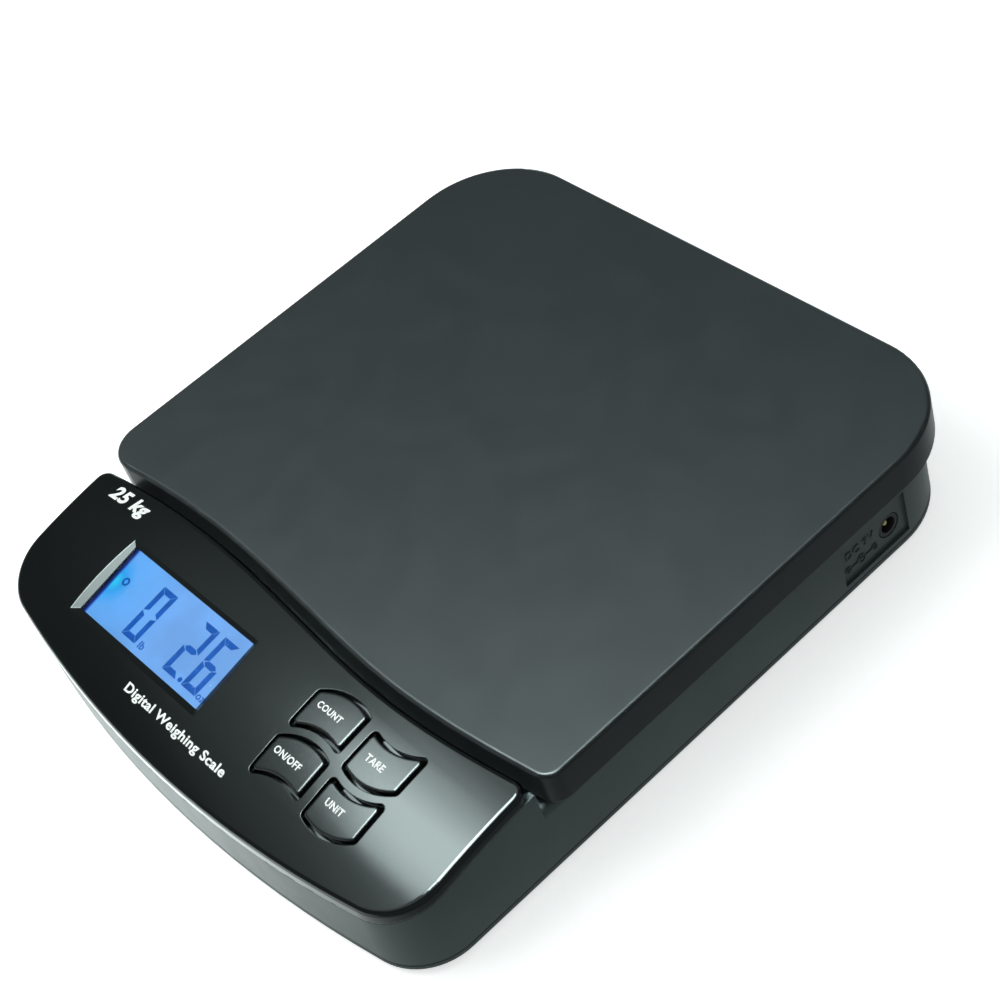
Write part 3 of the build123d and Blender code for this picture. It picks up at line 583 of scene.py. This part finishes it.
print_on_deck()
print_on_keys()
bending_load_cell()
display_pane()
display_segments()
socket_marks()


# ---- floor, light and camera --------------------------------------------------------------
def add_stage(name, grid, shader):
    mesh = bpy.data.meshes.new(name)
    grid.to_mesh(mesh)
    grid.free()
    mesh.materials.append(shader.material)
    thing = bpy.data.objects.new(name, mesh)
    bpy.context.scene.collection.objects.link(thing)
    return thing


def studio_floor():
    """Pale floor, wide enough to fill the view. Its mirror image in the casing fades to the right,
    and it can't be seen from below, so that the underside shows."""
    HALF = 3.0                    # half its side, in metres
    LEVEL = -0.05 * MM            # just under the soles of the feet
    LEFT, RIGHT = -0.02, 0.14     # where its mirror image starts and ends fading, in metres
    BRIGHT, FADED = (0.9, 1.0, 0.98), (0.052, 0.066, 0.066)
    grid = bmesh.new()
    corners = ((-HALF, -HALF), (HALF, -HALF), (HALF, HALF), (-HALF, HALF))
    grid.faces.new([grid.verts.new((x, y, LEVEL)) for x, y in corners])
    s = Shader("floor_white")
    s.set(Base_Color=s.ramp(s.noise(400.0, 2.0), 0.86, 0.9), Roughness=0.7)
    s.set(Emission_Color=(1, 1, 1, 1), Emission_Strength=0.6)
    split = s.node("ShaderNodeSeparateXYZ")
    s.link(s.place, split.inputs["Vector"])
    across = s.node("ShaderNodeMapRange")
    across.inputs["From Min"].default_value = LEFT
    across.inputs["From Max"].default_value = RIGHT
    s.link(split.outputs["X"], across.inputs["Value"])
    seen = s.node("ShaderNodeEmission", Strength=2.3)
    s.link(s.ramp(across.outputs["Result"], BRIGHT, FADED, (0, 1)), seen.inputs["Color"])
    mix = s.node("ShaderNodeMixShader")
    s.link(s.node("ShaderNodeLightPath").outputs["Is Glossy Ray"], mix.inputs["Fac"])
    s.link(s.surface.outputs["BSDF"], mix.inputs[1])
    s.link(seen.outputs["Emission"], mix.inputs[2])
    above = s.node("ShaderNodeMixShader")
    s.link(s.node("ShaderNodeNewGeometry").outputs["Backfacing"], above.inputs["Fac"])
    s.link(mix.outputs["Shader"], above.inputs[1])
    s.link(s.node("ShaderNodeBsdfTransparent").outputs["BSDF"], above.inputs[2])
    s.link(above.outputs["Shader"], s.output.inputs["Surface"])
    add_stage("floor", grid, s)


def reflected_room():
    """Dome that only mirror images see: a large soft ceiling lamp over a dim room."""
    LAMP = Vector((-0.135, -0.083, 0.987)).normalized()
    FRONTWARD = Vector((0, -1, 0))
    RADIUS = 2.5
    LAMP_GAIN, CORE_GAIN = 10.0, 24.0
    # Steps of (how nearly a direction points at the lamp, brightness).
    DIM = ((0.0, 0.25), (0.74, 0.15), (0.77, 0.2), (0.79, 0.36), (0.83, 0.63), (0.85, 1.0))
    EDGE = ((0.854, 0.0), (0.862, 0.3), (0.874, 0.78), (0.885, 1.0))
    CORE = ((0.945, 0.0), (0.965, 1.0))
    # The same for the front, with SHIFT added: the lamp fades towards both its ends.
    SHIFT = 0.5
    ENDS = ((0.44, 0.06), (0.47, 0.12), (0.5, 0.25), (0.524, 0.4), (0.565, 0.62), (0.60, 0.85),
            (0.63, 1.0), (0.69, 0.97), (0.74, 0.8), (0.765, 0.5), (0.79, 0.1), (0.9, 0.0))
    grid = bmesh.new()
    bmesh.ops.create_icosphere(grid, subdivisions=4, radius=RADIUS)
    s = Shader("room_glow")

    def towards(direction, start=0.0):
        """How nearly a point of the dome lies in a direction: start + 1 on it, start when square to it."""
        product = s.node("ShaderNodeVectorMath", operation="DOT_PRODUCT")
        product.inputs[1].default_value = direction / RADIUS
        s.link(s.place, product.inputs[0])
        shifted = s.node("ShaderNodeMath", operation="ADD")
        shifted.inputs[1].default_value = start
        s.link(product.outputs["Value"], shifted.inputs[0])
        return shifted.outputs["Value"]

    def times_plus(a, b, c):
        """a * b + c, where b and c may be plain numbers."""
        sum_of = s.node("ShaderNodeMath", operation="MULTIPLY_ADD")
        for value, target in zip((a, b, c), sum_of.inputs):
            if isinstance(value, float):
                target.default_value = value
            else:
                s.link(value, target)
        return sum_of.outputs["Value"]

    near = towards(LAMP)
    soft_box = times_plus(s.stops(near, EDGE), s.stops(towards(FRONTWARD, SHIFT), ENDS), 0.0)
    total = times_plus(soft_box, LAMP_GAIN, s.stops(near, DIM))
    total = times_plus(s.stops(near, CORE), CORE_GAIN, total)
    emission = s.node("ShaderNodeEmission", Color=(0.82, 1.0, 0.99, 1))
    s.link(total, emission.inputs["Strength"])
    s.link(emission.outputs["Emission"], s.output.inputs["Surface"])
    s.material.cycles.emission_sampling = "NONE"
    dome = add_stage("room", grid, s)
    dome.visible_camera = dome.visible_diffuse = dome.visible_shadow = False
    dome.visible_transmission = dome.visible_volume_scatter = False


def studio_light():
    """Even room light, and one soft lamp for gentle shadows."""
    ROOM, BACKDROP = 0.42, 1.0    # the world's strength as light, and as seen by the camera
    LAMP_AT, LAMP_SIZE, LAMP_POWER = Vector((-0.5, -0.5, 1.1)), 0.8, 6.0
    world = bpy.data.worlds.new("studio")
    world.use_nodes = True
    bpy.context.scene.world = world
    background = world.node_tree.nodes["Background"]
    background.inputs["Color"].default_value = (0.90, 1.0, 0.985, 1)
    links = world.node_tree.links
    direct = world.node_tree.nodes.new("ShaderNodeLightPath")
    level = world.node_tree.nodes.new("ShaderNodeMapRange")
    level.inputs["To Min"].default_value = ROOM
    level.inputs["To Max"].default_value = BACKDROP
    links.new(direct.outputs["Is Camera Ray"], level.inputs["Value"])
    links.new(level.outputs["Result"], background.inputs["Strength"])
    data = bpy.data.lights.new("soft_lamp", "AREA")
    data.size = LAMP_SIZE
    data.energy = LAMP_POWER
    thing = bpy.data.objects.new("soft_lamp", data)
    thing.location = LAMP_AT
    thing.rotation_mode = "QUATERNION"
    thing.rotation_quaternion = (-LAMP_AT).to_track_quat("-Z", "Y")
    thing.visible_glossy = False
    bpy.context.scene.collection.objects.link(thing)


def camera():
    """Long lens from the front right and above, at the viewing angle of the reference view."""
    PLACE = (0.4289, -0.2010, 0.4983)
    TILT, ROLL, TURN = 43.177, 14.442, 48.225
    SENSOR, LENS = 36.0, 77.8
    data = bpy.data.cameras.new("view")
    data.sensor_width = SENSOR
    data.lens = LENS
    data.clip_start, data.clip_end = 0.02, 20.0
    thing = bpy.data.objects.new("view", data)
    thing.location = PLACE
    thing.rotation_euler = (radians(TILT), radians(ROLL), radians(TURN))
    bpy.context.scene.collection.objects.link(thing)
    bpy.context.scene.camera = thing


studio_floor()
reflected_room()
studio_light()
camera()
bpy.context.scene.view_settings.view_transform = "Standard"
